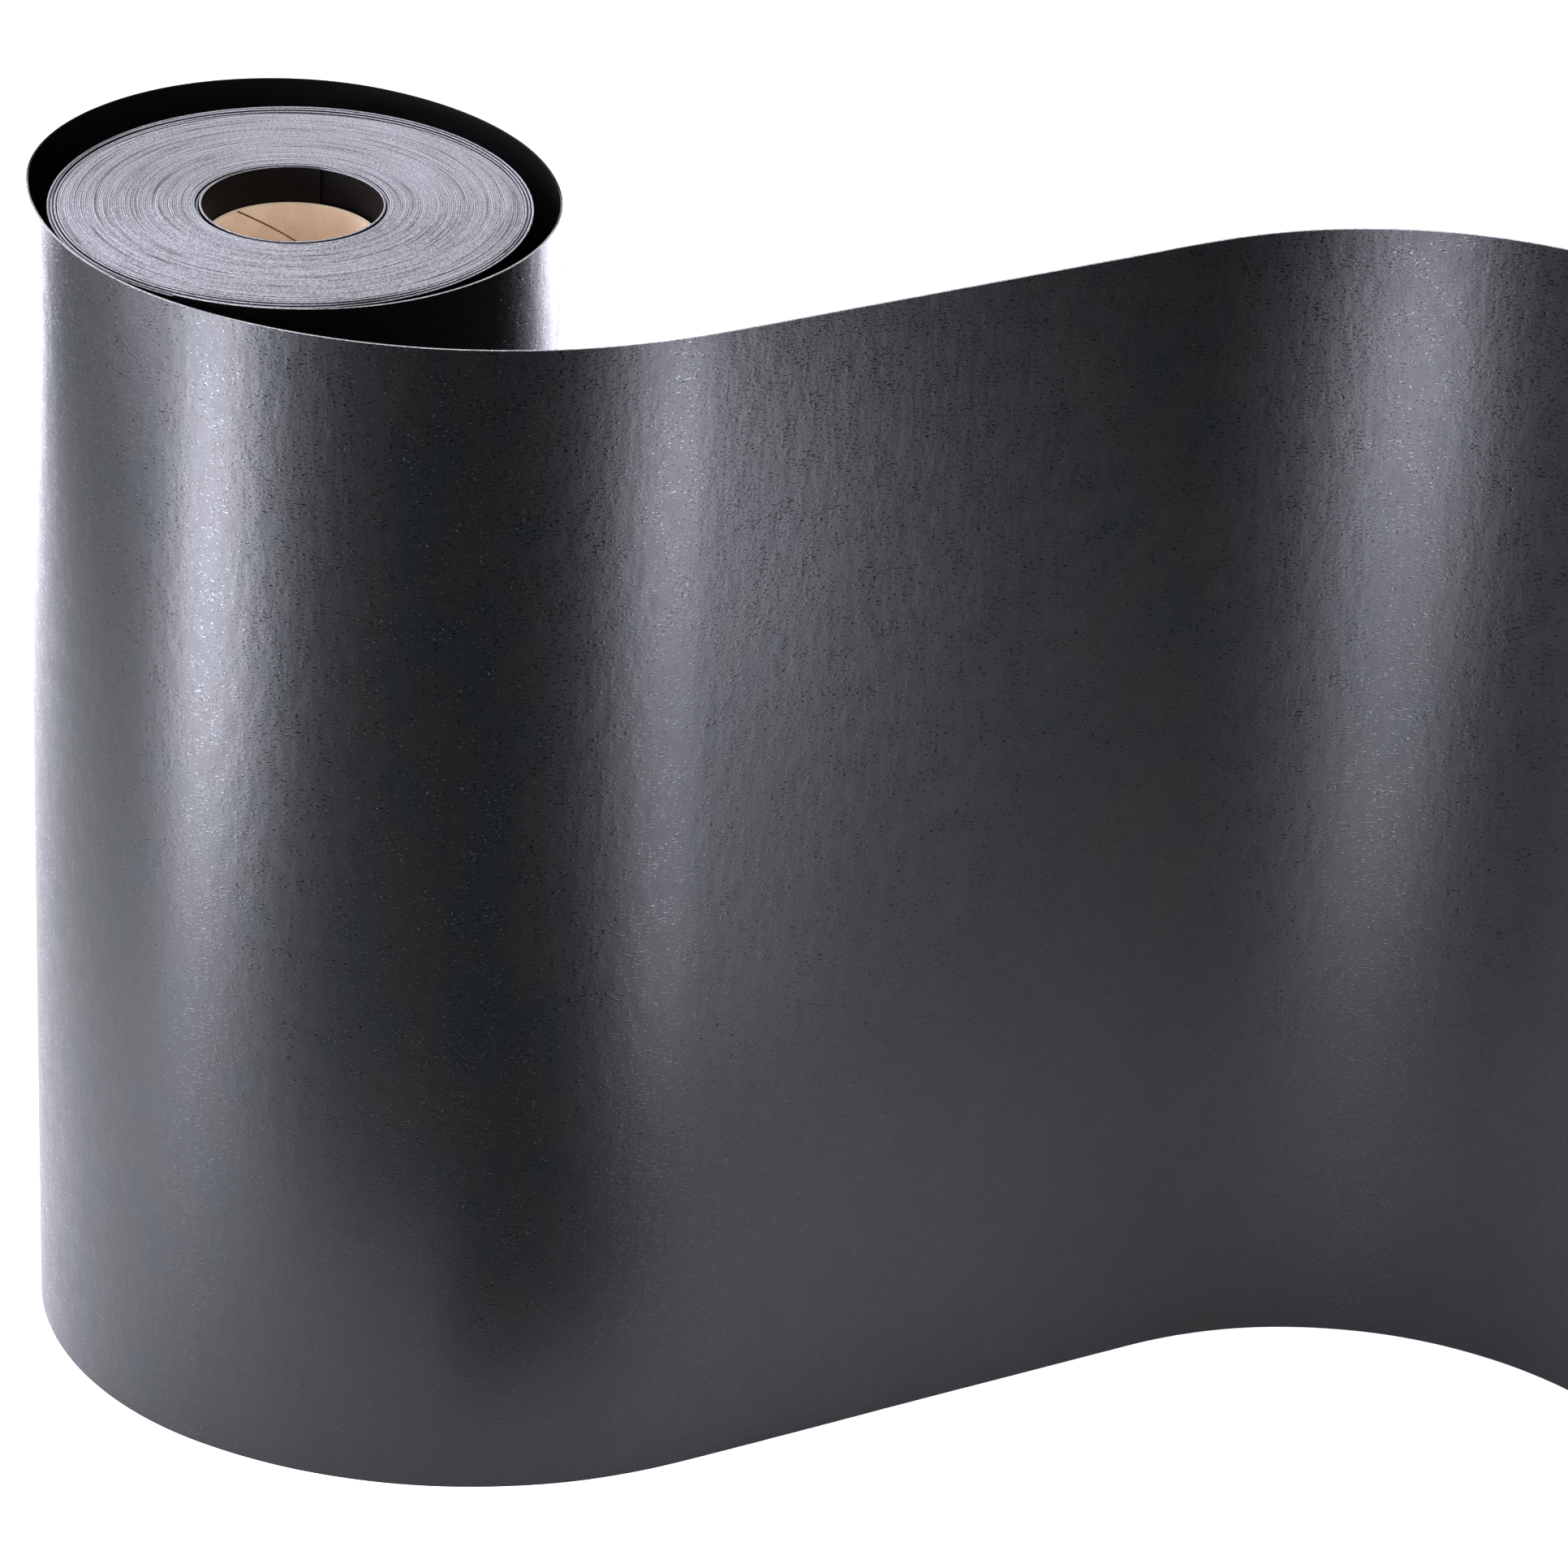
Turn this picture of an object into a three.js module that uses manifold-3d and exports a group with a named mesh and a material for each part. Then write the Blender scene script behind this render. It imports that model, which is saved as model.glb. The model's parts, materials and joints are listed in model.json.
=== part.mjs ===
// A part-used roll of sign vinyl, standing on end: a spiral-wound paper core, the tight pack of turns on it,
// the loosened turns inside and outside the pack, and the free end of the sheet, which stands round the
// roll in one wide turn and runs off to the right in a lazy wave.
// Millimetres, +Z up, +X along the free end, +Y away from it across the roll.

import * as THREE from "three";
import { mergeVertices } from "three/addons/utils/BufferGeometryUtils.js";
import Module from "manifold-3d";

const wasm = await Module();
wasm.setup();

// Driving dimensions.

const sheet = {
  width: 305, // a 12 inch roll
  film: 0.2, // the black face film and its adhesive
  liner: 0.25, // the black release liner that it is stuck to
  bond: 0.05, // between the two
};
const core = {
  bore: 38.1, // takes a 1.5 inch spindle
  ply: 0.45, // each of the three wound paper plies
  glue: 0.05, // between plies
  length: 296, // cut a little shorter than the sheet is wide
  seamLead: 78, // rise of the innermost ply's butt seam in one turn
  seamGap: 0.6, // measured up the tube
  seamTop: 135, // where the seam meets the top end, in degrees from +X
};
const roll = {
  radius: 56.9, // over all the turns that are wound on
  slip: 0.2, // round the core, which can slide in the pack
  rest: 0, // the turns stand on their slit edges
};
const innerTurns = { count: 2, gap: 0.3, start: 76 }; // start is the angle of the sheet's inner end
const outerTurns = { count: 3, gap: 0.4 };

// The free end's middle line, from where it leaves the roll: tangent arcs of (radius, degrees), in which a
// minus turns clockwise, and one straight run.
const freeEnd = {
  leaves: -113, // angle on the roll, in degrees from +X
  clear: 0.2, // between the roll and the loose turn
  rightSide: [61, 125.2],
  back: [73, 55.5],
  leftSide: [58, 117.5],
  frontLeft: [88.5, 57],
  front: [124, 56.5],
  run: 127,
  lastBend: [97, -80],
};
const flex = {
  first: 34, // degrees into the front arc, where the free end starts to swing off the roll
  second: 104, // along the straight run
  slit: 0.5, // between stretches of the sheet, so that they can fold on each other
};

// Fineness of the round shapes.
const coreSides = 48;
const packSides = 72;
const innerStep = 7.5; // degrees
const turnStep = 5; // degrees
const bendStep = 5; // degrees

// Worked out from them.

const sheetThickness = sheet.film + sheet.bond + sheet.liner;
const coreRadius = core.bore / 2 + 3 * core.ply + 2 * core.glue;
const boreRadius = coreRadius + roll.slip;
const innerPitch = sheetThickness + innerTurns.gap;
const outerPitch = sheetThickness + outerTurns.gap;
const innerDepth = innerTurns.count * innerPitch + sheetThickness; // of the spiral of loose turns
const outerDepth = outerTurns.count * outerPitch + sheetThickness;
const packInner = boreRadius + innerDepth + innerTurns.gap;
const packOuter = roll.radius - outerDepth - outerTurns.gap;
const firstRadius = roll.radius + freeEnd.clear + sheetThickness / 2;
const rad = THREE.MathUtils.degToRad;

// Finishes.

function finish(color, roughness, metalness = 0) {
  return new THREE.MeshStandardMaterial({ color, roughness, metalness });
}

const filmFinish = () => finish(0x1d1c20, 0.42);
const linerFinish = () => finish(0x0d0c0e, 0.5);
const edgeFinish = () => finish(0x8f8c92, 0.9);
const kraftFinish = () => finish(0xc7a988, 0.85);

// One arc or straight run of the sheet's middle line: its stations are {x, y, heading}.
function arcStations(from, radius, degrees, step = bendStep) {
  const sign = Math.sign(degrees);
  const count = Math.max(2, Math.ceil(Math.abs(degrees) / step));
  const centreX = from.x - sign * radius * Math.sin(from.heading);
  const centreY = from.y + sign * radius * Math.cos(from.heading);
  return Array.from({ length: count + 1 }, (_, i) => {
    const heading = from.heading + (rad(degrees) * i) / count;
    return {
      x: centreX + sign * radius * Math.sin(heading),
      y: centreY - sign * radius * Math.cos(heading),
      heading,
    };
  });
}

function straightStations(from, length, pieces = 8) {
  return Array.from({ length: pieces + 1 }, (_, i) => ({
    x: from.x + (length * i * Math.cos(from.heading)) / pieces,
    y: from.y + (length * i * Math.sin(from.heading)) / pieces,
    heading: from.heading,
  }));
}

// Joins runs that each start where the one before ended.
function chain(from, makers) {
  const stations = [from];
  for (const make of makers) {
    stations.push(...make(stations.at(-1)).slice(1));
  }
  return stations;
}

// A turn of a spiral whose radius grows by pitch a turn, as the sheet is wound.
function spiralStations(startAngle, startRadius, pitch, step) {
  const count = Math.round(360 / step);
  const climb = Math.atan(pitch / (2 * Math.PI * startRadius));
  return Array.from({ length: count + 1 }, (_, i) => {
    const angle = rad(startAngle + step * i);
    const radius = startRadius + (pitch * i) / count;
    return {
      x: radius * Math.cos(angle),
      y: radius * Math.sin(angle),
      heading: angle + Math.PI / 2 - climb,
    };
  });
}

// Trims a little off both ends of a stretch, so that two that follow each other don't touch.
function trimmed(stations, ends) {
  const moved = (station, distance) => ({
    x: station.x + distance * Math.cos(station.heading),
    y: station.y + distance * Math.sin(station.heading),
    heading: station.heading,
  });
  const [first, last] = [stations[0], stations.at(-1)];
  return [moved(first, ends), ...stations.slice(1, -1), moved(last, -ends)];
}

// A standing layer of the sheet. inside and outside are its faces' distances from the middle line,
// with the roll's axis on the inside.
function standingLayer(stations, inside, outside) {
  const side = (station, distance) =>
    new THREE.Vector2(
      station.x + distance * Math.sin(station.heading),
      station.y - distance * Math.cos(station.heading),
    );
  const outerFace = stations.map((station) => side(station, outside));
  const innerFace = stations.map((station) => side(station, inside));
  const outline = new THREE.Shape([...outerFace, ...innerFace.reverse()]);
  const geometry = new THREE.ExtrudeGeometry(outline, {
    depth: sheet.width,
    bevelEnabled: false,
  });
  return geometry.translate(0, 0, roll.rest);
}

// A tube round the roll's axis.
function tube(innerRadius, outerRadius, length, sides) {
  const profile = [
    [innerRadius, 0],
    [outerRadius, 0],
    [outerRadius, length],
    [innerRadius, length],
    [innerRadius, 0],
  ].map(([radius, height]) => new THREE.Vector2(radius, height));
  return new THREE.LatheGeometry(profile, sides).rotateX(Math.PI / 2);
}

// The gap of a helical butt seam, as a solid to cut a ply with: it rises seamLead in a turn.
function seamCutter(innerRadius, outerRadius) {
  const spare = core.seamLead / 6; // past both ends of the tube
  const step = 360 / coreSides;
  const turns = (core.length + 2 * spare) / core.seamLead;
  const count = Math.ceil((turns * 360) / step);
  const corners = [];
  for (let i = 0; i <= count; i++) {
    const below = i * step - (spare * 360) / core.seamLead;
    const height = core.length - (below * core.seamLead) / 360;
    const angle = rad(core.seamTop - below);
    for (const [radius, lift] of [
      [innerRadius, -1],
      [outerRadius, -1],
      [outerRadius, 1],
      [innerRadius, 1],
    ]) {
      corners.push(
        radius * Math.cos(angle),
        radius * Math.sin(angle),
        height + (lift * core.seamGap) / 2,
      );
    }
  }
  const faces = [];
  const quad = (a, b, c, d) => faces.push(a, b, c, a, c, d);
  for (let i = 0; i < count; i++) {
    for (let edge = 0; edge < 4; edge++) {
      const next = (edge + 1) % 4;
      quad(4 * i + edge, 4 * i + next, 4 * i + 4 + next, 4 * i + 4 + edge);
    }
  }
  quad(3, 2, 1, 0);
  const last = 4 * count;
  quad(last, last + 1, last + 2, last + 3);
  const geometry = new THREE.BufferGeometry();
  geometry.setAttribute("position", new THREE.Float32BufferAttribute(corners, 3));
  geometry.setIndex(faces);
  return geometry;
}

// Cuts one closed geometry with another.
function solidOf(geometry) {
  const bare = geometry.clone();
  bare.deleteAttribute("normal");
  bare.deleteAttribute("uv");
  const merged = mergeVertices(bare);
  const mesh = new wasm.Mesh({
    numProp: 3,
    vertProperties: merged.attributes.position.array,
    triVerts: new Uint32Array(merged.index.array),
  });
  return new wasm.Manifold(mesh);
}

function cut(geometry, cutter) {
  const result = solidOf(geometry).subtract(solidOf(cutter)).getMesh();
  const made = new THREE.BufferGeometry();
  made.setAttribute("position", new THREE.BufferAttribute(result.vertProperties, 3));
  made.setIndex(new THREE.BufferAttribute(result.triVerts, 1));
  made.computeVertexNormals();
  return made;
}

// The core: three plies, the innermost with its seam open as a fine helical groove.
function makeCore() {
  const group = new THREE.Group();
  ["core_inner_ply", "core_middle_ply", "core_outer_ply"].forEach((name, i) => {
    const inner = core.bore / 2 + i * (core.ply + core.glue);
    const outer = inner + core.ply;
    let geometry = tube(inner, outer, core.length, coreSides);
    if (i === 0) {
      geometry = cut(geometry, seamCutter(inner - core.ply, outer + core.glue));
    }
    group.add(named(name, geometry, kraftFinish()));
  });
  return group;
}

// The turns that are wound on: the tight pack, and the looser turns either side of it.
function makeRoll() {
  const group = new THREE.Group();
  const half = sheetThickness / 2;
  group.add(named("wound_pack", tube(packInner, packOuter, sheet.width, packSides), edgeFinish()));
  const addTurns = (label, turns, startAngle, startRadius, pitch, step) => {
    for (let i = 0; i < turns.count; i++) {
      const stations = spiralStations(startAngle, startRadius + i * pitch, pitch, step);
      const geometry = standingLayer(trimmed(stations, turns.gap / 2), -half, half);
      group.add(named(`${label}_${i + 1}`, geometry, filmFinish()));
    }
  };
  addTurns("inner_turn", innerTurns, innerTurns.start, boreRadius + half, innerPitch, innerStep);
  const firstOuter = roll.radius - outerDepth + half;
  addTurns("outer_turn", outerTurns, freeEnd.leaves, firstOuter, outerPitch, turnStep);
  return group;
}

// The free end, in three stretches: the wide loose turn, the web beside the roll and the web's far end.
function makeFreeEnd() {
  const arc = ([radius, degrees]) => (from) => arcStations(from, radius, degrees);
  const part = ([radius, degrees], from, to = degrees) => arc([radius, to - from]);
  const run = (length) => (from) => straightStations(from, length);
  const start = {
    x: firstRadius * Math.cos(rad(freeEnd.leaves)),
    y: firstRadius * Math.sin(rad(freeEnd.leaves)),
    heading: rad(freeEnd.leaves + 90),
  };
  const looseTurn = chain(start, [
    arc(freeEnd.rightSide),
    arc(freeEnd.back),
    arc(freeEnd.leftSide),
    arc(freeEnd.frontLeft),
    part(freeEnd.front, 0, flex.first),
  ]);
  const nearWeb = chain(looseTurn.at(-1), [part(freeEnd.front, flex.first), run(flex.second)]);
  const farWeb = chain(nearWeb.at(-1), [run(freeEnd.run - flex.second), arc(freeEnd.lastBend)]);

  const group = new THREE.Group();
  const half = sheetThickness / 2;
  const stretches = { loose_turn: looseTurn, near_web: nearWeb, far_web: farWeb };
  for (const [name, stations] of Object.entries(stretches)) {
    const ends = trimmed(stations, flex.slit / 2);
    const film = standingLayer(ends, half - sheet.film, half);
    const liner = standingLayer(ends, -half, sheet.liner - half);
    group.add(named(`${name}_film`, film, filmFinish()));
    group.add(named(`${name}_liner`, liner, linerFinish()));
  }
  return group;
}

function named(name, geometry, material) {
  const mesh = new THREE.Mesh(geometry, material);
  mesh.name = name;
  return mesh;
}

// The whole object, with the middle of its footprint at the origin.
const object = new THREE.Group();
object.add(makeCore(), makeRoll(), makeFreeEnd());
const middle = new THREE.Box3().setFromObject(object).getCenter(new THREE.Vector3());
object.position.set(-middle.x, -middle.y, 0);

export default object;
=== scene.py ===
"""A part-used roll of black sign vinyl, standing on end, with its free end unrolled beside it.

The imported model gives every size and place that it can: the roll's axis, the radii of its rings of turns,
the core's length and the joints. The sheet's route is a chain of tangent arcs, as in the part's source.
Every stretch of the sheet is built as the real one is: a ribbon with a film face, a liner face and two
slit edges, wound, bent or left to stand. Metres throughout, +Z up.
"""

from __future__ import annotations

import json
import logging
import math
from dataclasses import dataclass, field
from enum import Enum

import bpy
import numpy as np
from mathutils import Euler, Matrix, Vector

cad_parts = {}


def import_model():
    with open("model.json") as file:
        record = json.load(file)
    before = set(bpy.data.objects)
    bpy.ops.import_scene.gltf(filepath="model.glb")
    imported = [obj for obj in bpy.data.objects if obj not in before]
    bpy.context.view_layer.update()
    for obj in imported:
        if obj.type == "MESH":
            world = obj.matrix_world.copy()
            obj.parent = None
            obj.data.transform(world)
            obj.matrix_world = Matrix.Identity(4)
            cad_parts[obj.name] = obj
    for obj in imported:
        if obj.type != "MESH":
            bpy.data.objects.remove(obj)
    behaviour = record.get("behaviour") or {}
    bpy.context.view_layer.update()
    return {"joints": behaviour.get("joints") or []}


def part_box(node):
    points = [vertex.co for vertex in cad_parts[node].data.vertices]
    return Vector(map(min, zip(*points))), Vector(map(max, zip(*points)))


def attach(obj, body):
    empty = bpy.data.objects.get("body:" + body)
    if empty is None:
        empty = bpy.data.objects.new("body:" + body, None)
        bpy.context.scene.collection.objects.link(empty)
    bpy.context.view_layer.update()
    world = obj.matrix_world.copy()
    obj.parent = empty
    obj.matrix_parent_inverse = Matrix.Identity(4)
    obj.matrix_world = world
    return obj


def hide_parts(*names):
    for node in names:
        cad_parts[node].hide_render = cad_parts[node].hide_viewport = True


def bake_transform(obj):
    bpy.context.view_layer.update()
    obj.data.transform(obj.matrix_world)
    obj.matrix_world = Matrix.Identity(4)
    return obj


LOG = logging.getLogger("vinyl_roll")
MM = 0.001
UV_NAME = "along_and_across"  # metres along the sheet, metres round its section
FREE_END_ALONG = 17.0  # the free end's own metres count on from here
CLEAN_STRETCH = (0.135, 0.315)  # metres along the free end between which its slit edge is dark

Colour = tuple[float, float, float, float]


# Shader maths.


class Signal:
    """A node's output socket that can be used in sums."""

    def __init__(self, graph: "Graph", socket: bpy.types.NodeSocket) -> None:
        """Wraps a socket of a graph."""
        self.graph = graph
        self.socket = socket

    def __add__(self, other: "Signal | float") -> "Signal":
        """Sum."""
        return self.graph.math("ADD", self, other)

    __radd__ = __add__

    def __sub__(self, other: "Signal | float") -> "Signal":
        """Difference."""
        return self.graph.math("SUBTRACT", self, other)

    def __rsub__(self, other: float) -> "Signal":
        """Difference, with the number first."""
        return self.graph.math("SUBTRACT", other, self)

    def __mul__(self, other: "Signal | float") -> "Signal":
        """Product."""
        return self.graph.math("MULTIPLY", self, other)

    __rmul__ = __mul__

    def between(self, low: float, high: float) -> "Signal":
        """A smooth step.

        Args:
            low: where it is still 0.
            high: where it has reached 1, which is below low for a step downwards.

        Returns:
            The step, 0 to 1.
        """
        node = self.graph.node(
            "ShaderNodeMapRange",
            {"interpolation_type": "SMOOTHSTEP"},
            {"Value": self, "From Min": low, "From Max": high},
        )
        return Signal(self.graph, node.outputs["Result"])


class Graph:
    """The node tree of one material."""

    def __init__(self, name: str) -> None:
        """Makes an empty material.

        Args:
            name: the material's name.
        """
        self.material = bpy.data.materials.new(name)
        self.material.use_nodes = True
        self.tree = self.material.node_tree
        self.tree.nodes.clear()

    def node(self, kind: str, settings: dict[str, object], inputs: dict[str, object]) -> bpy.types.Node:
        """Adds a node.

        Args:
            kind: the node's type.
            settings: its properties, set first.
            inputs: the value or link of each named or numbered socket.

        Returns:
            The node.
        """
        made = self.tree.nodes.new(kind)
        for key, value in settings.items():
            setattr(made, key, value)
        for key, value in inputs.items():
            socket = made.inputs[int(key)] if key.isdigit() else made.inputs[key]
            if isinstance(value, Signal):
                self.tree.links.new(value.socket, socket)
            else:
                socket.default_value = value
        return made

    def math(self, operation: str, *values: "Signal | float") -> Signal:
        """Adds a Math node on values and gives its result."""
        inputs = {str(i): value for i, value in enumerate(values)}
        return Signal(self, self.node("ShaderNodeMath", {"operation": operation}, inputs).outputs[0])

    def route(self) -> Signal:
        """The surface's own coordinates: metres along the sheet and round its section."""
        return Signal(self, self.node("ShaderNodeUVMap", {"uv_map": UV_NAME}, {}).outputs["UV"])

    def place(self) -> Signal:
        """Object coordinates, in metres."""
        return Signal(self, self.node("ShaderNodeTexCoord", {}, {}).outputs["Object"])

    def stretched(self, vector: Signal, scale: tuple[float, float, float]) -> Signal:
        """A vector multiplied by a scale along each axis."""
        mapped = self.node("ShaderNodeMapping", {}, {"Vector": vector, "Scale": scale})
        return Signal(self, mapped.outputs["Vector"])

    def axis(self, vector: Signal, letter: str) -> Signal:
        """One number of a vector: X, Y or Z."""
        return Signal(self, self.node("ShaderNodeSeparateXYZ", {}, {"Vector": vector}).outputs[letter])

    def noise(self, vector: Signal, scale: float, detail: float = 2.0, rough: float = 0.5) -> Signal:
        """Noise of about 0 to 1.

        Args:
            vector: where it is read.
            scale: features per metre.
            detail: how many finer layers.
            rough: how strong they are.

        Returns:
            Its value.
        """
        inputs = {"Vector": vector, "Scale": scale, "Detail": detail, "Roughness": rough}
        made = self.node("ShaderNodeTexNoise", {"noise_dimensions": "3D"}, inputs)
        return Signal(self, made.outputs[0])

    def grain(self, route: Signal, size: tuple[float, float], detail: float = 2.0,
              rough: float = 0.5) -> Signal:
        """Noise whose features have a size of their own along and across the sheet.

        Args:
            route: the surface's own coordinates.
            size: of a feature, in metres.
            detail: how many finer layers.
            rough: how strong they are.

        Returns:
            Its value.
        """
        return self.noise(self.stretched(route, (1 / size[0], 1 / size[1], 1.0)), 1.0, detail, rough)

    def blend(self, share: Signal, low: Colour, high: Colour) -> Signal:
        """Mixes two colours.

        Args:
            share: 0 for the first, 1 for the second.
            low: the first.
            high: the second.

        Returns:
            The colour.
        """
        inputs = {"0": share, "6": low, "7": high}
        made = self.node("ShaderNodeMix", {"data_type": "RGBA"}, inputs)
        return Signal(self, made.outputs[2])

    def bump(self, height: Signal, distance: float = 1.0) -> Signal:
        """A bumped normal.

        Args:
            height: the relief, in metres unless distance says otherwise.
            distance: what a height of 1 stands for, in metres.

        Returns:
            The normal.
        """
        inputs = {"Height": height, "Distance": distance, "Strength": 1.0}
        return Signal(self, self.node("ShaderNodeBump", {}, inputs).outputs["Normal"])

    def finish(self, **inputs: object) -> bpy.types.Material:
        """Closes the tree with a Principled shader.

        Args:
            inputs: values or links of its sockets, with _ for a space.

        Returns:
            The material.
        """
        named = {key.replace("_", " "): value for key, value in inputs.items()}
        shader = self.node("ShaderNodeBsdfPrincipled", {}, named)
        out = self.node("ShaderNodeOutputMaterial", {}, {})
        self.tree.links.new(shader.outputs["BSDF"], out.inputs["Surface"])
        return self.material


# Finishes.


@dataclass(frozen=True)
class FaceFilm:
    """Satin black film: a fine tooth, short polished flecks that glint, pits and a softly uneven lie."""

    brownish: Colour = (0.0028, 0.0018, 0.0018, 1.0)
    greenish: Colour = (0.0012, 0.002, 0.002, 1.0)
    gloss: float = 0.38
    polish: float = 0.16
    level: float = 0.25
    tooth: tuple[float, float] = (0.9 * MM, 0.45 * MM)
    tooth_height: float = 0.038 * MM
    fleck: tuple[float, float] = (1.35 * MM, 0.5 * MM)
    fleck_height: float = 0.02 * MM
    pit: tuple[float, float] = (0.8 * MM, 0.55 * MM)
    pit_depth: float = 0.07 * MM
    cluster: float = 7.0 * MM
    lie: tuple[float, float] = (3.4 * MM, 9.0 * MM)
    lie_height: float = 0.09 * MM
    hue_patch: tuple[float, float] = (16.0 * MM, 24.0 * MM)
    fleck_step: tuple[float, float] = (0.56, 0.66)
    pit_step: tuple[float, float] = (0.31, 0.25)
    hue_step: tuple[float, float] = (0.4, 0.6)
    fleck_bunching: float = 0.2
    pit_bunching: float = 0.3
    uneven_gloss: float = 0.08

    def material(self) -> bpy.types.Material:
        """Builds the material on the sheet's own coordinates."""
        g = Graph("face_film")
        route = g.route()
        tooth = g.grain(route, self.tooth)
        flecks = g.grain(route, self.fleck, detail=1.5, rough=0.6)
        lie = g.grain(route, self.lie)
        bunches = g.grain(route, (self.cluster, self.cluster), rough=0.6) - 0.5
        pits = g.grain(route, self.pit, detail=1.0, rough=0.4)
        pits = (pits + bunches * self.pit_bunching).between(*self.pit_step)
        flecks = (flecks - bunches * self.fleck_bunching).between(*self.fleck_step)
        hues = g.grain(route, self.hue_patch)
        colour = g.blend(hues.between(*self.hue_step), self.brownish, self.greenish)
        roughness = self.gloss + bunches * self.uneven_gloss - flecks * self.polish
        height = tooth * self.tooth_height + flecks * self.fleck_height
        height = height + lie * self.lie_height - pits * self.pit_depth
        return g.finish(Base_Color=colour, Roughness=roughness, Normal=g.bump(height),
                        Specular_IOR_Level=self.level)


@dataclass(frozen=True)
class LinerFace:
    """Smooth deep black liner with a faint tooth."""

    black: Colour = (0.0035, 0.0032, 0.0036, 1.0)
    worn: Colour = (0.005, 0.004, 0.0045, 1.0)
    gloss: float = 0.5
    uneven_gloss: float = 0.1
    level: float = 0.12
    tooth: float = 0.5 * MM
    relief: float = 0.01 * MM

    def material(self) -> bpy.types.Material:
        """Builds the material on the sheet's own coordinates."""
        g = Graph("liner_face")
        tooth = g.noise(g.route(), 1 / self.tooth)
        roughness = self.gloss + (tooth - 0.5) * self.uneven_gloss
        return g.finish(Base_Color=g.blend(tooth, self.black, self.worn), Roughness=roughness,
                        Normal=g.bump(tooth, self.relief), Specular_IOR_Level=self.level)


@dataclass(frozen=True)
class SlitEdge:
    """The cut edge of film and liner: pale torn fibres with darker flecks strung out along the cut, and long
    streaks of painted shade, the shade between turns standing at different heights.
    """

    name: str = "slit_edge"
    pale: Colour = (0.45, 0.445, 0.49, 1.0)
    dark: Colour = (0.05, 0.047, 0.056, 1.0)
    fleck: tuple[float, float] = (0.6 * MM, 0.42 * MM)
    streak: tuple[float, float] = (38.0 * MM, 1.0 * MM)
    relief: float = 0.14 * MM
    streak_weight: float = 0.45
    fibre_step: tuple[float, float] = (0.42, 1.0)
    streak_step: tuple[float, float] = (0.34, 0.43)
    # the share that the painted shade of the streaks leaves at its darkest
    least: float = 0.3
    dullness: float = 0.8
    uneven_gloss: float = 0.15
    clean: tuple[float, float] = (0.0, 0.0)
    ease: float = 0.02

    def material(self) -> bpy.types.Material:
        """Builds the material on the sheet's own coordinates, dark and without fibres where it is clean, with
        painted shade in long streaks.
        """
        g = Graph(self.name)
        route = g.route()
        along = g.axis(route, "X")
        inside = along.between(self.clean[0] - self.ease, self.clean[0])
        inside = inside * (1 - along.between(self.clean[1], self.clean[1] + self.ease))
        flecks = g.grain(route, self.fleck, detail=3.0, rough=0.75)
        streaks_and_painted_shade = g.grain(route, self.streak, detail=3.0, rough=0.6)
        share = (flecks + streaks_and_painted_shade * self.streak_weight).between(*self.fibre_step) * (1 - inside)
        # Painted shade: the long streaks darken the edge, as the shade between turns that stand at different
        # heights.
        share = share * (self.least + (1 - self.least) * streaks_and_painted_shade.between(*self.streak_step))
        colour = g.blend(share, self.dark, self.pale)
        return g.finish(Base_Color=colour, Roughness=self.dullness + flecks * self.uneven_gloss,
                        Normal=g.bump(flecks * self.relief))


@dataclass(frozen=True)
class Kraft:
    """Kraft board: blotchy tan with short fibres."""

    name: str = "kraft"
    tan: Colour = (0.90, 0.70, 0.51, 1.0)
    brown: Colour = (0.76, 0.57, 0.41, 1.0)
    blotch: float = 7.0 * MM
    fibre: float = 0.6 * MM
    upright: float = 0.45
    blotch_weight: float = 0.8
    fibre_weight: float = 0.35
    tan_step: tuple[float, float] = (0.35, 0.8)
    dullness: float = 0.78
    uneven_gloss: float = 0.15
    relief: float = 0.04 * MM

    def material(self) -> bpy.types.Material:
        """Builds the material on Object coordinates."""
        g = Graph(self.name)
        place = g.place()
        blotches = g.noise(place, 1 / self.blotch, detail=3.0, rough=0.55)
        drawn = g.stretched(place, (1.0, 1.0, self.upright))
        fibres = g.noise(drawn, 1 / self.fibre, detail=3.0, rough=0.65)
        share = (blotches * self.blotch_weight + fibres * self.fibre_weight).between(*self.tan_step)
        colour = g.blend(share, self.brown, self.tan)
        return g.finish(Base_Color=colour, Roughness=self.dullness + fibres * self.uneven_gloss,
                        Normal=g.bump(fibres, self.relief))


@dataclass(frozen=True)
class PaleFloor:
    """A plain pale sweep of board."""

    white: Colour = (0.86, 0.86, 0.87, 1.0)
    tooth: float = 2.5 * MM
    dullness: float = 0.7
    uneven_gloss: float = 0.1
    level: float = 0.2

    def material(self) -> bpy.types.Material:
        """Builds the material on Object coordinates."""
        g = Graph("pale_floor")
        tooth = g.noise(g.place(), 1 / self.tooth)
        return g.finish(Base_Color=self.white, Roughness=self.dullness + tooth * self.uneven_gloss,
                        Specular_IOR_Level=self.level)


class Face(Enum):
    """The sides of a ribbon, in the order of its material slots."""

    FILM = 0
    LINER = 1
    EDGE = 2
    END = 3


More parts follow.
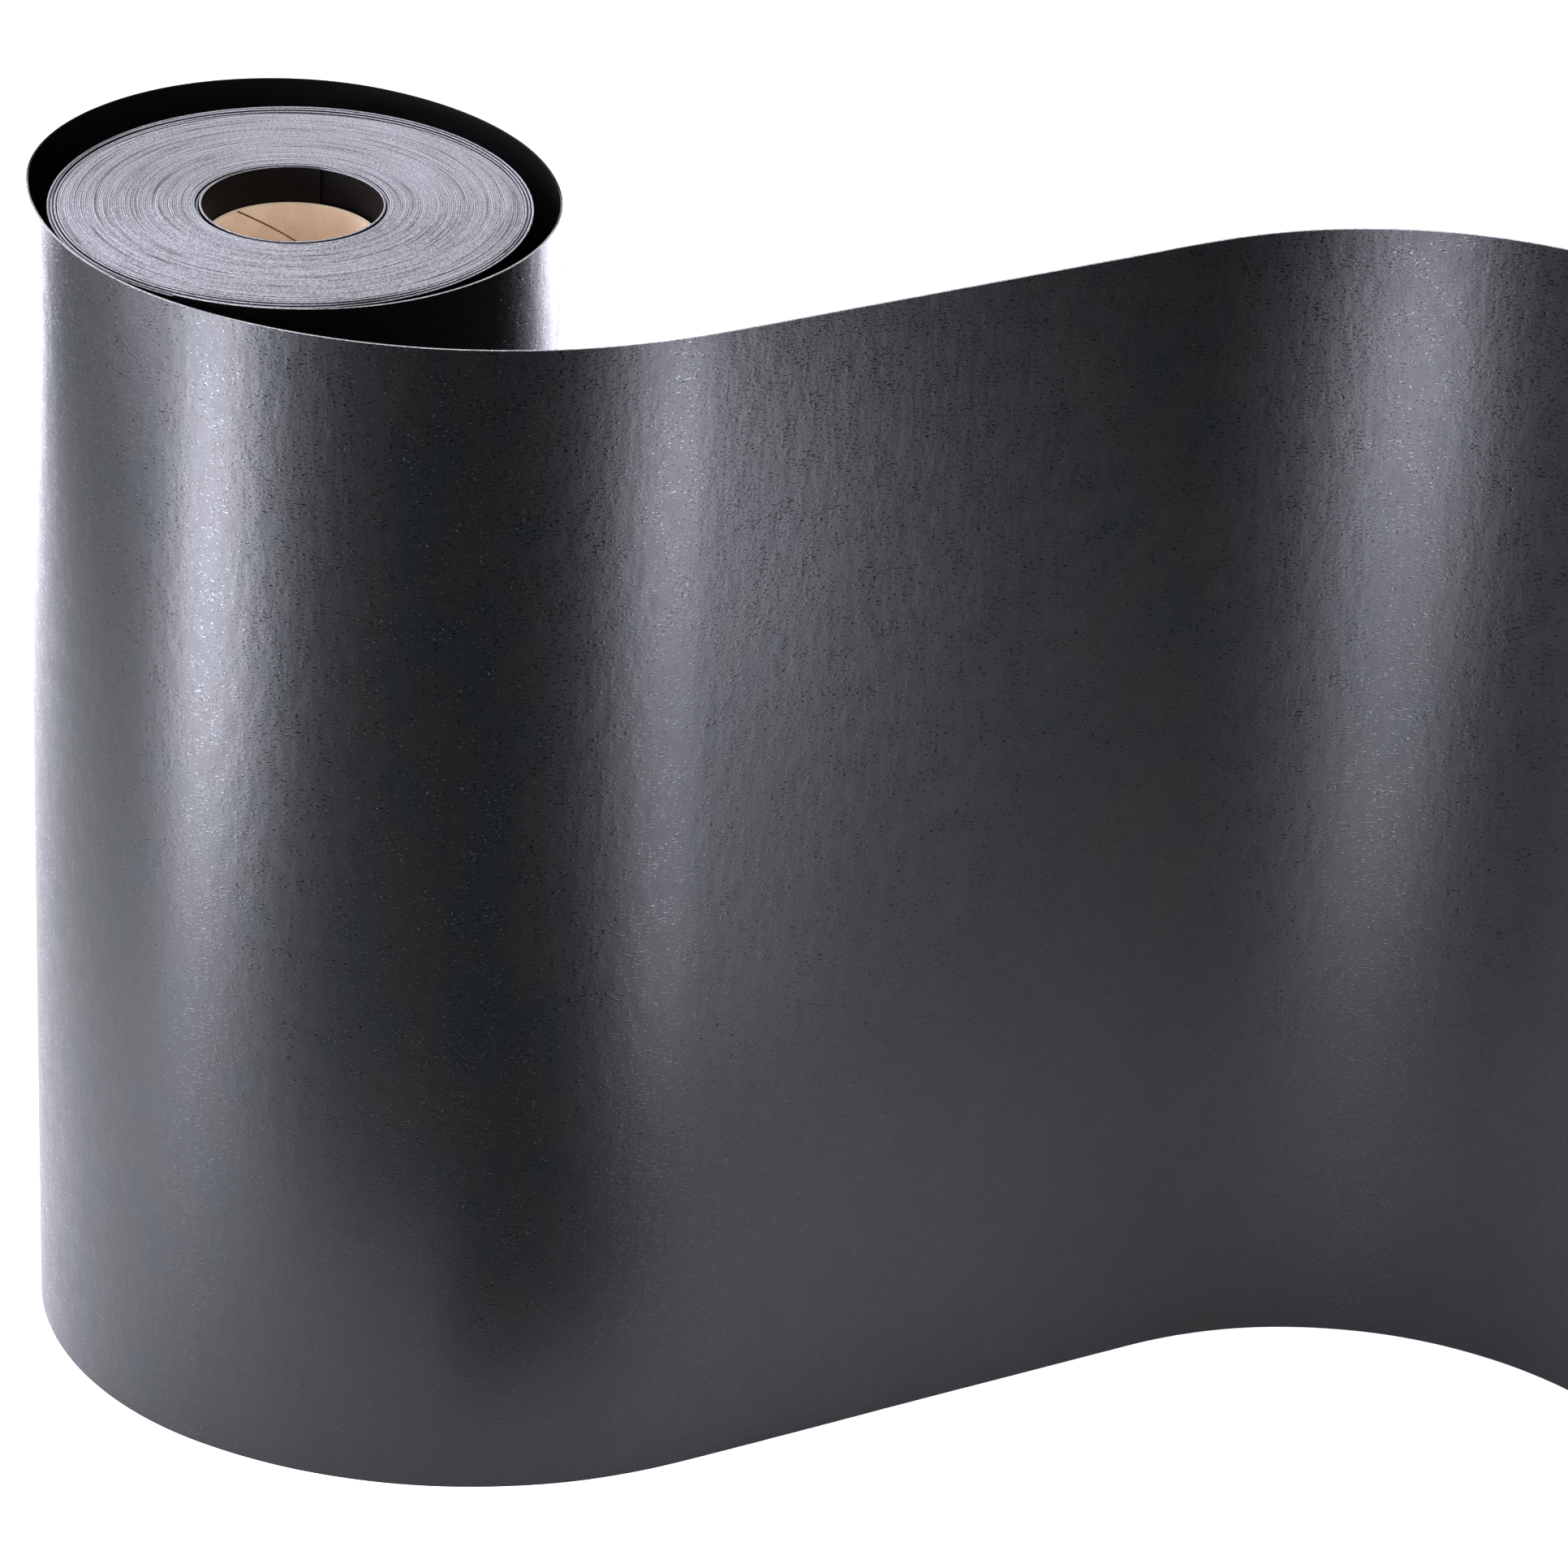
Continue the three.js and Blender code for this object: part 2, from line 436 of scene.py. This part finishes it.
@dataclass
class Stock:
    """The finishes, made once and shared by every piece."""

    film: bpy.types.Material = field(default_factory=lambda: FaceFilm().material())
    liner: bpy.types.Material = field(default_factory=lambda: LinerFace().material())
    edge: bpy.types.Material = field(
        default_factory=lambda: SlitEdge(
            name="free_slit_edge",
            pale=(0.6, 0.6, 0.62, 1.0),
            dark=(0.012, 0.012, 0.013, 1.0),
            clean=(FREE_END_ALONG + CLEAN_STRETCH[0], FREE_END_ALONG + CLEAN_STRETCH[1]),
        ).material()
    )
    wound_edge: bpy.types.Material = field(default_factory=lambda: SlitEdge().material())
    kraft: bpy.types.Material = field(default_factory=lambda: Kraft().material())
    # Board of the middle and outer plies, seen in the seams' grooves: its dark colour is glue and painted
    # shade of the grooves.
    glued_kraft: bpy.types.Material = field(
        default_factory=lambda: Kraft(
            name="glued_kraft", tan=(0.30, 0.17, 0.09, 1.0), brown=(0.2, 0.1, 0.05, 1.0)
        ).material()
    )

    def sheet_slots(self) -> list[bpy.types.Material]:
        """The materials of the free end, in the order of Face."""
        return [self.film, self.liner, self.edge, self.film]

    def wound_slots(self) -> list[bpy.types.Material]:
        """The materials of the wound turns, in the order of Face."""
        return [self.film, self.liner, self.wound_edge, self.liner]


# The sheet.


@dataclass
class Route:
    """Stations along the sheet's middle line, seen from above, with the roll's inside on the left."""

    x: np.ndarray
    y: np.ndarray
    heading: np.ndarray
    along: np.ndarray

    @classmethod
    def start(cls, x: float, y: float, heading: float, along: float = 0.0) -> "Route":
        """A route of one station, at a place, with its heading in radians and its metres along the sheet."""
        return cls(*(np.array([value], float) for value in (x, y, heading, along)))

    def _joined(self, x: np.ndarray, y: np.ndarray, heading: np.ndarray, along: np.ndarray) -> "Route":
        """This route with more stations after it, their metres counted from its end."""
        return Route(
            np.append(self.x, x),
            np.append(self.y, y),
            np.append(self.heading, heading),
            np.append(self.along, self.along[-1] + along),
        )

    def arc(self, radius: float, degrees: float, step: float) -> "Route":
        """Adds a tangent arc.

        Args:
            radius: in metres.
            degrees: how far it turns, minus for clockwise.
            step: the length of a station, in metres.

        Returns:
            The longer route.
        """
        swept = math.radians(degrees)
        side = math.copysign(1.0, swept)
        count = max(2, math.ceil(abs(swept) * radius / step))
        turned = np.linspace(0, swept, count + 1)[1:]
        first = self.heading[-1]
        centre_x = self.x[-1] - side * radius * math.sin(first)
        centre_y = self.y[-1] + side * radius * math.cos(first)
        heading = first + turned
        return self._joined(
            centre_x + side * radius * np.sin(heading),
            centre_y - side * radius * np.cos(heading),
            heading,
            np.abs(turned) * radius,
        )

    def straight(self, length: float, step: float) -> "Route":
        """Adds a straight run.

        Args:
            length: in metres.
            step: the length of a station, in metres.

        Returns:
            The longer route.
        """
        count = max(1, math.ceil(length / step))
        run = np.linspace(0, length, count + 1)[1:]
        heading = np.full(count, self.heading[-1])
        return self._joined(
            self.x[-1] + run * math.cos(heading[0]), self.y[-1] + run * math.sin(heading[0]), heading, run
        )

    def last(self) -> "Route":
        """A route that starts where this one ends."""
        return Route.start(self.x[-1], self.y[-1], self.heading[-1], self.along[-1])

    @classmethod
    def spiral(cls, radius: float, end_radius: float, turns: float, start: float, sides: int,
               along: float = 0.0) -> "Route":
        """A wound stretch round the origin.

        Args:
            radius: of its middle line at its start.
            end_radius: at its end.
            turns: how many it makes, anticlockwise.
            start: the angle that it starts at, in degrees.
            sides: stations in a turn.
            along: metres of sheet before it.

        Returns:
            The route.
        """
        count = round(turns * sides)
        share = np.linspace(0, 1, count + 1)
        angle = math.radians(start) + share * turns * 2 * math.pi
        r = radius + (end_radius - radius) * share
        x, y = r * np.cos(angle), r * np.sin(angle)
        steps = np.append(0, np.hypot(np.diff(x), np.diff(y)))
        return cls(x, y, angle + math.pi / 2, along + np.cumsum(steps))


def ripple(along: np.ndarray, across: np.ndarray, seed: int, wavelength: float, waves: int = 6) -> np.ndarray:
    """Smooth random waviness of about -1 to 1, the same each run.

    Args:
        along: metres along the sheet.
        across: metres across it.
        seed: which pattern.
        wavelength: of the longest wave, in metres.
        waves: how many are added.

    Returns:
        The height at each place.
    """
    shorter = 0.55
    weaker = 0.5
    most_tilt = 0.6
    largest = 2.2
    random = np.random.default_rng(seed)
    total = np.zeros(np.broadcast(along, across).shape)
    for i in range(waves):
        size = wavelength / (1 + shorter * i)
        turn = random.uniform(0, 2 * math.pi)
        tilt = random.uniform(-most_tilt, most_tilt)
        phase = 2 * math.pi / size * (along * math.cos(tilt) + across * math.sin(tilt)) + turn
        total = total + np.sin(phase) / (1 + weaker * i)
    return total / largest


@dataclass
class Ribbon:
    """A stretch of sheet on edge: two faces, two rounded slit edges and two ends, up from the floor."""

    name: str
    route: Route
    inside: float
    outside: float
    top: np.ndarray | float
    rounding: float
    rows: int = 1
    waviness: float = 0.0
    wave_pattern: int = 11
    wavelength: float = 0.13
    most_rounding: float = 0.45
    crease: float = 32.0

    def _section(self) -> tuple[np.ndarray, np.ndarray, list[Face]]:
        """Draws the section, from its lower inner corner round by the outside.

        Returns:
            Its corners' offsets, their heights (0 to 1), and what each side after a corner is.
        """
        levels = np.linspace(0, 1, self.rows + 1)
        soft = min(self.rounding, self.most_rounding * (self.outside - self.inside))
        height = float(np.mean(self.top))
        levels = soft / height + levels * (1 - 2 * soft / height)
        offsets = [self.inside + soft, self.outside - soft]
        offsets += [self.outside] * len(levels)
        offsets += [self.outside - soft, self.inside + soft]
        offsets += [self.inside] * len(levels)
        heights = [0.0, 0.0, *levels, 1.0, 1.0, *levels[::-1]]
        sides = [Face.EDGE, Face.EDGE, *[Face.FILM] * self.rows, Face.EDGE, Face.EDGE, Face.EDGE]
        sides += [*[Face.LINER] * self.rows, Face.EDGE]
        return np.array(offsets), np.array(heights), sides

    def _caps(self, count: int, last: int) -> list[tuple[int, ...]]:
        """The faces that close both cut ends, as strips across the thickness.

        Args:
            count: vertices at a station.
            last: the first vertex of the last station.

        Returns:
            The faces, by their vertices.
        """
        strips = [(0, 1, 2, count - 1)]
        for k in range(self.rows):
            outer, inner = 2 + k, count - 1 - k
            strips.append((outer, outer + 1, inner - 1, inner))
        top = 2 + self.rows
        strips.append((top, top + 1, top + 2, top + 3))
        front = [tuple(reversed(strip)) for strip in strips]
        back = [tuple(last + corner for corner in strip) for strip in strips]
        return front + back

    def build(self, materials: list[bpy.types.Material], at: Vector) -> bpy.types.Object:
        """Makes the mesh.

        Args:
            materials: in the order of Face.
            at: the roll's axis, which the route is drawn round.

        Returns:
            The object, at the origin, with its place in its mesh.
        """
        offsets, heights, sides = self._section()
        route, count = self.route, len(offsets)
        stations = len(route.x)
        z = np.broadcast_to(self.top, stations)[:, None] * heights[None, :]
        sway = ripple(route.along[:, None], z, self.wave_pattern, self.wavelength) * self.waviness
        off = offsets[None, :] + sway
        x = at.x + route.x[:, None] + off * np.sin(route.heading)[:, None]
        y = at.y + route.y[:, None] - off * np.cos(route.heading)[:, None]
        points = np.stack([x, y, z], axis=-1).reshape(-1, 3)

        first = np.arange(stations - 1)[:, None] * count + np.arange(count)[None, :]
        nxt = np.arange(stations - 1)[:, None] * count + (np.arange(count)[None, :] + 1) % count
        quads = np.stack([first, nxt, nxt + count, first + count], axis=-1).reshape(-1, 4)
        caps = self._caps(count, (stations - 1) * count)
        faces = quads.tolist() + caps
        kinds = [side.value for side in sides] * (stations - 1) + [Face.END.value] * len(caps)

        mesh = bpy.data.meshes.new(self.name)
        mesh.from_pydata(points.tolist(), [], [f[::-1] for f in faces])
        for material in materials:
            mesh.materials.append(material)
        mesh.polygons.foreach_set("material_index", kinds)
        self._lay_out(mesh, count, z)
        made = bpy.data.objects.new(self.name, mesh)
        bpy.context.scene.collection.objects.link(made)
        shade(made, self.crease)
        return made

    def _lay_out(self, mesh: bpy.types.Mesh, count: int, z: np.ndarray) -> None:
        """Gives the mesh its coordinates along the sheet and across it.

        Args:
            mesh: the mesh, whose vertices are still in station order.
            count: vertices at a station.
            z: the height of each.
        """
        offsets, _, _ = self._section()
        along = np.repeat(self.route.along, count)
        across = (z + offsets[None, :]).reshape(-1)
        layer = mesh.uv_layers.new(name=UV_NAME)
        corners = np.zeros(len(mesh.loops), np.int32)
        mesh.loops.foreach_get("vertex_index", corners)
        layer.data.foreach_set("uv", np.stack([along, across], -1)[corners].astype(np.float32).reshape(-1))


def shade(made: bpy.types.Object, degrees: float) -> None:
    """Shades an object smooth, apart from its sharp edges.

    Args:
        made: the object.
        degrees: the angle from which an edge stays sharp.
    """
    bpy.ops.object.select_all(action="DESELECT")
    made.select_set(True)
    bpy.context.view_layer.objects.active = made
    bpy.ops.object.shade_smooth_by_angle(angle=math.radians(degrees))
    made.select_set(False)


# The core.


@dataclass
class Core:
    """The paper core: three plies wound as helical strips, each with its butt seam."""

    stock: Stock
    axis: Vector
    lead: float = 78 * MM
    seam_gap: float = 0.6 * MM
    seam_angle: float = 135.0
    seam_step: float = 120.0
    board: float = 0.45 * MM
    sides: int = 144
    merge: float = 0.002 * MM
    crease: float = 40.0
    level_normal: float = 0.9
    end_depth: float = MM

    def build(self) -> None:
        """Makes the plies and puts them on the core's body."""
        for i, name in enumerate(("core_inner_ply", "core_middle_ply", "core_outer_ply")):
            low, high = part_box(name)
            outer = (high.x - low.x) / 2
            # The middle and outer plies, seen in the seams' grooves, are dark with glue and with painted
            # shade.
            material = self.stock.kraft if i == 0 else self.stock.glued_kraft
            seam = self.seam_angle + self.seam_step * i
            made = self._ply(name + "_board", outer - self.board, outer, high.z, seam)
            made.data.materials.append(material)
            if i > 0:
                made.data.materials.append(self.stock.kraft)
                self._bare_ends(made, high.z)
            shade(made, self.crease)
            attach(made, "core")
            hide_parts(name)
            LOG.info("%s: %d faces", made.name, len(made.data.polygons))

    def _ply(self, name: str, inner: float, outer: float, length: float, seam: float) -> bpy.types.Object:
        """Winds one ply.

        Args:
            name: the piece's name.
            inner: its inside radius.
            outer: its outside radius.
            length: of the core.
            seam: where its seam meets the top end, in degrees.

        Returns:
            The piece, at the origin.
        """
        turns = math.ceil(length / self.lead) + 2
        climb = self.lead * seam / 360
        below = math.ceil((length - climb) / self.lead) + 1
        start = length - climb - below * self.lead
        strip = self.lead - self.seam_gap
        bpy.ops.object.select_all(action="DESELECT")
        bpy.ops.mesh.primitive_plane_add(size=1.0, location=(0, 0, 0), rotation=(math.pi / 2, 0, 0))
        made = bpy.context.active_object
        made.name = made.data.name = name
        bpy.ops.object.transform_apply(location=True, rotation=True, scale=True)
        bpy.ops.object.mode_set(mode="EDIT")
        bpy.ops.mesh.select_all(action="SELECT")
        bpy.ops.transform.resize(value=(outer - inner, 1.0, strip), center_override=(0, 0, 0))
        bpy.ops.transform.translate(value=((outer + inner) / 2, 0, start + self.lead / 2))
        bpy.ops.object.mode_set(mode="OBJECT")
        screw = made.modifiers.new("wind", "SCREW")
        screw.angle = turns * 2 * math.pi
        screw.screw_offset = turns * self.lead
        screw.steps = screw.render_steps = turns * self.sides
        screw.use_normal_calculate = True
        bpy.ops.object.modifier_apply(modifier=screw.name)
        made.location = (self.axis.x, self.axis.y, 0)
        bpy.ops.object.transform_apply(location=True, rotation=False, scale=False)
        bpy.ops.object.mode_set(mode="EDIT")
        for height, above in ((0.0, False), (length, True)):
            bpy.ops.mesh.select_all(action="SELECT")
            bpy.ops.mesh.bisect(plane_co=(0, 0, height), plane_no=(0, 0, 1), use_fill=True,
                                clear_inner=not above, clear_outer=above)
        bpy.ops.mesh.select_all(action="SELECT")
        bpy.ops.mesh.remove_doubles(threshold=self.merge)
        bpy.ops.mesh.normals_make_consistent(inside=False)
        bpy.ops.object.mode_set(mode="OBJECT")
        return made

    def _bare_ends(self, made: bpy.types.Object, length: float) -> None:
        """Gives a glued ply's cut ends the colour of bare board.

        Args:
            made: the ply, with bare board in its second slot.
            length: of the core.
        """
        for face in made.data.polygons:
            at_end = face.center.z > length - self.end_depth or face.center.z < self.end_depth
            if abs(face.normal.z) > self.level_normal and at_end:
                face.material_index = 1


# The wound turns.


@dataclass
class WoundRoll:
    """Every turn that is still on the roll: one long spiral, cut into its loose turns and the tight pack."""

    stock: Stock
    axis: Vector
    sides: int = 96
    thickness: float = 0.5 * MM
    slip: float = 0.2 * MM
    inner_gap: float = 0.3 * MM
    outer_gap: float = 0.28 * MM
    tight_pitch: float = 0.512 * MM
    starts: float = 76.0
    leaves: float = -113.0
    inner_turns: int = 2
    outer_turns: int = 3
    growth: float = 0.15 * MM  # added to half the last turn's width, because it widens on its way round
    rounding: float = 0.13 * MM
    stray: float = 0.1 * MM
    stray_pattern: int = 5
    stray_length: float = 0.21
    stray_waves: int = 9
    ring_dip: float = 0.9 * MM
    ring_in_mm: float = 3.0
    ring_width_mm: float = 1.6
    outer_step: float = 0.3 * MM
    step_width_mm: float = 0.9
    groove_depth: float = 0.6 * MM
    groove_out_mm: float = 1.6
    groove_width_mm: float = 0.5
    width: float = field(init=False)
    outer: float = field(init=False)
    core: float = field(init=False)

    def build(self) -> None:
        """Makes the turns and puts them on the roll's body."""
        low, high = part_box("outer_turn_3")
        core_low, core_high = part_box("core_outer_ply")
        half = self.thickness / 2
        self.width = high.z
        self.outer = (high.x - low.x) / 2 - half + self.growth
        self.core = (core_high.x - core_low.x) / 2
        inner = self.core + self.slip + half
        inner_pitch = self.thickness + self.inner_gap
        outer_pitch = self.thickness + self.outer_gap
        tight_start = inner + self.inner_turns * inner_pitch
        tight_end = self.outer - self.outer_turns * outer_pitch
        partial = ((self.leaves - self.starts) % 360) / 360
        tight_turns = round((tight_end - tight_start) / self.tight_pitch - partial) + partial
        along = 0.0
        for i in range(self.inner_turns):
            start = inner + i * inner_pitch
            along = self._turns(f"inner_turn_{i + 1}", start, inner_pitch, 1, self.starts, along)
        pitch = (tight_end - tight_start) / tight_turns
        along = self._turns("wound_pack", tight_start, pitch, tight_turns, self.starts, along)
        for i in range(self.outer_turns):
            start = tight_end + i * outer_pitch
            along = self._turns(f"outer_turn_{i + 1}", start, outer_pitch, 1, self.leaves, along)

    def _turns(self, node: str, radius: float, pitch: float, turns: float, start: float,
               along: float) -> float:
        """Makes one piece of the spiral.

        Args:
            node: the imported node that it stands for.
            radius: of its middle line at its start.
            pitch: how much that grows in a turn.
            turns: how many turns it makes.
            start: the angle that it starts at, in degrees.
            along: metres of sheet before it.

        Returns:
            Metres of sheet up to its end.
        """
        route = Route.spiral(radius, radius + pitch * turns, turns, start, self.sides, along)
        half = self.thickness / 2
        ribbon = Ribbon(node + "_sheet", route, -half, half, self._top(route), self.rounding)
        made = ribbon.build(self.stock.wound_slots(), self.axis)
        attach(made, "roll")
        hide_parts(node)
        return float(route.along[-1])

    def _top(self, route: Route) -> np.ndarray:
        """The height of the top edge.

        It strays a little, dips in a ring at the back and a groove round the core, and steps down in front.

        Args:
            route: the stretch.

        Returns:
            The height at each station.
        """
        stray = ripple(route.along, np.zeros(1), self.stray_pattern, self.stray_length, self.stray_waves)
        radius = np.hypot(route.x, route.y)
        behind = 0.5 + 0.5 * route.y / radius
        inwards = (self.outer - radius) / MM
        outwards = (radius - self.core) / MM
        ring = np.exp(-(((inwards - self.ring_in_mm) / self.ring_width_mm) ** 2))
        groove = np.exp(-(((outwards - self.groove_out_mm) / self.groove_width_mm) ** 2))
        steps = np.clip(self.outer_turns - inwards / self.step_width_mm, 0, self.outer_turns)
        top = self.width + stray * self.stray - ring * self.ring_dip * behind
        return top - steps * self.outer_step * (1 - behind) - groove * self.groove_depth


# The free end.


@dataclass(frozen=True)
class Arc:
    """A bend of the sheet: its radius in metres, and the degrees that it turns, minus for clockwise."""

    radius: float
    degrees: float


@dataclass(frozen=True)
class Flex:
    """Where the sheet bends at a joint: half the bend's length, and the heading of its line in degrees."""

    half_length: float
    heading: float


@dataclass
class FreeEnd:
    """The sheet off the roll: one wide loose turn and the web, as film and liner.

    The near flex's line leans off the web, so that the whole loose turn lies before its start.
    """

    stock: Stock
    axis: Vector
    joints: list[dict]
    film: float = 0.2 * MM
    bond: float = 0.05 * MM
    liner: float = 0.25 * MM
    step: float = 1.6 * MM
    rows: int = 44
    waviness: float = 0.1 * MM
    rounding: float = 0.05 * MM
    roll_radius: float = 56.9 * MM
    clear: float = 0.2 * MM
    leaves: float = -113.0
    right_side: Arc = Arc(61 * MM, 125.2)
    back: Arc = Arc(73 * MM, 55.5)
    left_side: Arc = Arc(58 * MM, 117.5)
    left_front: Arc = Arc(88.5 * MM, 57)
    front: Arc = Arc(124 * MM, 56.5)
    run: float = 127 * MM
    last_bend: Arc = Arc(97 * MM, -80)
    seam: float = 45 * MM
    near_flex: Flex = Flex(25 * MM, -35.0)
    far_flex: Flex = Flex(28 * MM, 28.7)
    width: float = field(init=False)

    def build(self) -> None:
        """Makes both layers of both stretches."""
        _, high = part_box("loose_turn_film")
        self.width = high.z
        near, far = self._routes()
        half = (self.film + self.bond + self.liner) / 2
        layers = {"film": (half - self.film, half), "liner": (-half, self.liner - half)}
        for layer, (inside, outside) in layers.items():
            near_ribbon = Ribbon(f"near_{layer}", near, inside, outside, self.width, self.rounding, self.rows,
                                 self.waviness)
            self._stretch(near_ribbon, layer, ("loose_turn", "near_web"))
            far_ribbon = Ribbon(f"far_{layer}", far, inside, outside, self.width, self.rounding, self.rows,
                                self.waviness)
            self._stretch(far_ribbon, layer, ("near_web", "far_web"))

    def _routes(self) -> tuple[Route, Route]:
        """Draws the middle line of the sheet.

        Returns:
            Its two parts, cut part of the way along its straight run.
        """
        radius = self.roll_radius + self.clear + (self.film + self.bond + self.liner) / 2
        angle = math.radians(self.leaves)
        x, y = radius * math.cos(angle), radius * math.sin(angle)
        route = Route.start(x, y, angle + math.pi / 2, FREE_END_ALONG)
        for bend in (self.right_side, self.back, self.left_side, self.left_front, self.front):
            route = route.arc(bend.radius, bend.degrees, self.step)
        near = route.straight(self.seam, self.step)
        far = near.last().straight(self.run - self.seam, self.step)
        return near, far.arc(self.last_bend.radius, self.last_bend.degrees, self.step)

    def _stretch(self, ribbon: Ribbon, layer: str, bodies: tuple[str, str]) -> None:
        """Makes one layer of one stretch.

        Args:
            ribbon: the layer's shape.
            layer: film or liner.
            bodies: the two that the real sheet bends between, whose imported pieces it hides.
        """
        made = ribbon.build(self.stock.sheet_slots(), self.axis)
        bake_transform(made)
        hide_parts(*(f"{body}_{layer}" for body in bodies))
        "face_film" if layer == "film" else "release_liner"


# The studio.


@dataclass(frozen=True)
class Board:
    """A flat board of the floor, by its edges in metres, which the sheet mirrors or doesn't."""

    name: str
    left: float
    right: float
    front: float
    back: float
    mirrored: bool = False


@dataclass(frozen=True)
class Softbox:
    """An upright soft light: where it stands and turns to, its two ends' heights, its width and radiance."""

    name: str
    at: tuple[float, float]
    towards: tuple[float, float]
    heights: tuple[float, float]
    width: float
    radiance: float


@dataclass
class Studio:
    """Camera, pale floor and soft light."""

    axis: Vector
    camera_from_axis: Vector = field(default_factory=lambda: Vector((119.9, -1503.3, 981.5)) * MM)
    pitch: float = 28.73
    roll: float = 2.55
    lens: float = 162.9
    sensor: float = 36.0
    farthest: float = 20.0
    floor_reach: float = 5.0
    tint: tuple[float, float, float] = (0.97, 0.98, 1.14)
    roll_side: tuple[float, float] = (-0.15, -0.06)
    web_side: tuple[float, float] = (0.02, 0.0)
    middle: tuple[float, float] = (0.0, 0.0)
    air: float = 1.4
    air_tint: Colour = (1.0, 1.0, 1.03, 1.0)

    def place_camera(self) -> None:
        """Stands the camera where it sees the roll from above and in front."""
        data = bpy.data.cameras.new("camera")
        data.lens = self.lens
        data.sensor_width = self.sensor
        data.clip_end = self.farthest
        camera = bpy.data.objects.new("camera", data)
        bpy.context.scene.collection.objects.link(camera)
        turned = Euler((math.radians(90 - self.pitch), 0, 0)).to_matrix() @ Matrix.Rotation(
            math.radians(self.roll), 3, "Z"
        )
        camera.matrix_world = Matrix.Translation(self.axis + self.camera_from_axis) @ turned.to_4x4()
        bpy.context.scene.camera = camera

    def lay_floor(self) -> None:
        """Lays the floor: a near board that the sheet mirrors, and the rest round it."""
        material = PaleFloor().material()
        far = self.floor_reach
        left = -0.6
        middle = -0.09
        back_right = 0.2
        right = 0.5
        front = -0.19
        step = -0.125
        back = 0.02
        behind = 0.32
        end = 0.9
        boards = (
            Board("bright_left", left, middle, front, behind, mirrored=True),
            Board("bright_right", middle, right, step, back, mirrored=True),
            Board("bright_back", left, back_right, behind, end, mirrored=True),
            Board("floor_front", -far, far, -far, front),
            Board("floor_front_right", middle, far, front, step),
            Board("floor_right", right, far, step, back),
            Board("floor_behind_right", middle, far, back, behind),
            Board("floor_back_right", back_right, far, behind, end),
            Board("floor_back", -far, far, end, far),
            Board("floor_left", -far, left, front, end),
        )
        for edges in boards:
            place = ((edges.left + edges.right) / 2, (edges.front + edges.back) / 2, 0)
            bpy.ops.object.select_all(action="DESELECT")
            bpy.ops.mesh.primitive_plane_add(size=1.0, location=place)
            board = bpy.context.active_object
            board.name = edges.name
            board.scale = (edges.right - edges.left, edges.back - edges.front, 1)
            bpy.ops.object.transform_apply(location=True, rotation=True, scale=True)
            board.data.materials.append(material)
            board.visible_glossy = edges.mirrored

    def light(self) -> None:
        """Stands the soft lights round the roll and sets the air's own brightness."""
        right_front = (0.125, -0.22)
        boxes = (
            Softbox("left_strip", (-0.379, -0.203), self.roll_side,
                    heights=(0.03, 0.225), width=0.052, radiance=82.0),
            Softbox("left_high_strip", (-0.414, -0.116), self.roll_side,
                    heights=(0.22, 0.36), width=0.07, radiance=45.0),
            Softbox("right_low_strip", right_front, self.web_side,
                    heights=(0.0, 0.09), width=0.07, radiance=20.0),
            Softbox("right_high_strip", right_front, self.web_side,
                    heights=(0.12, 0.225), width=0.07, radiance=44.0),
            Softbox("back_left_window", (-1.05, 0.45), self.middle,
                    heights=(0.0, 1.2), width=1.75, radiance=4.5),
            Softbox("back_left_strip", (-0.42, 0.46), self.roll_side,
                    heights=(0.0, 0.14), width=0.14, radiance=26.0),
            Softbox("back_right_strip", (0.28, 0.5), self.middle,
                    heights=(0.02, 0.3), width=0.16, radiance=34.0),
        )
        for box in boxes:
            self._stand(box)
        world = bpy.data.worlds.new("studio_air")
        bpy.context.scene.world = world
        world.use_nodes = True
        background = world.node_tree.nodes["Background"]
        background.inputs["Color"].default_value = self.air_tint
        background.inputs["Strength"].default_value = self.air
        world.cycles_visibility.glossy = False
        bpy.context.scene.view_settings.view_transform = "Standard"

    def _stand(self, box: Softbox) -> None:
        """Stands one upright soft light.

        Args:
            box: the light's place, size and brightness.
        """
        height = box.heights[1] - box.heights[0]
        data = bpy.data.lights.new(box.name, "AREA")
        data.shape = "RECTANGLE"
        data.size, data.size_y = box.width, height
        data.energy = box.radiance * math.pi * box.width * height
        data.color = self.tint
        lamp = bpy.data.objects.new(box.name, data)
        bpy.context.scene.collection.objects.link(lamp)
        lamp.location = (*box.at, sum(box.heights) / 2)
        facing = Vector((box.towards[0] - box.at[0], box.towards[1] - box.at[1], 0))
        lamp.rotation_euler = facing.to_track_quat("-Z", "Y").to_euler()
        lamp.visible_camera = False


def main() -> None:
    """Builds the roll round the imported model, piece by piece."""
    logging.basicConfig(level=logging.INFO, format="%(name)s: %(message)s")
    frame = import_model()
    low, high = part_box("wound_pack")
    axis = Vector(((low.x + high.x) / 2, (low.y + high.y) / 2, 0))
    studio = Studio(axis)
    studio.place_camera()
    stock = Stock()
    for assembly in (Core(stock, axis), WoundRoll(stock, axis), FreeEnd(stock, axis, frame["joints"])):
        assembly.build()
    studio.lay_floor()
    studio.light()


if __name__ == "__main__":
    main()
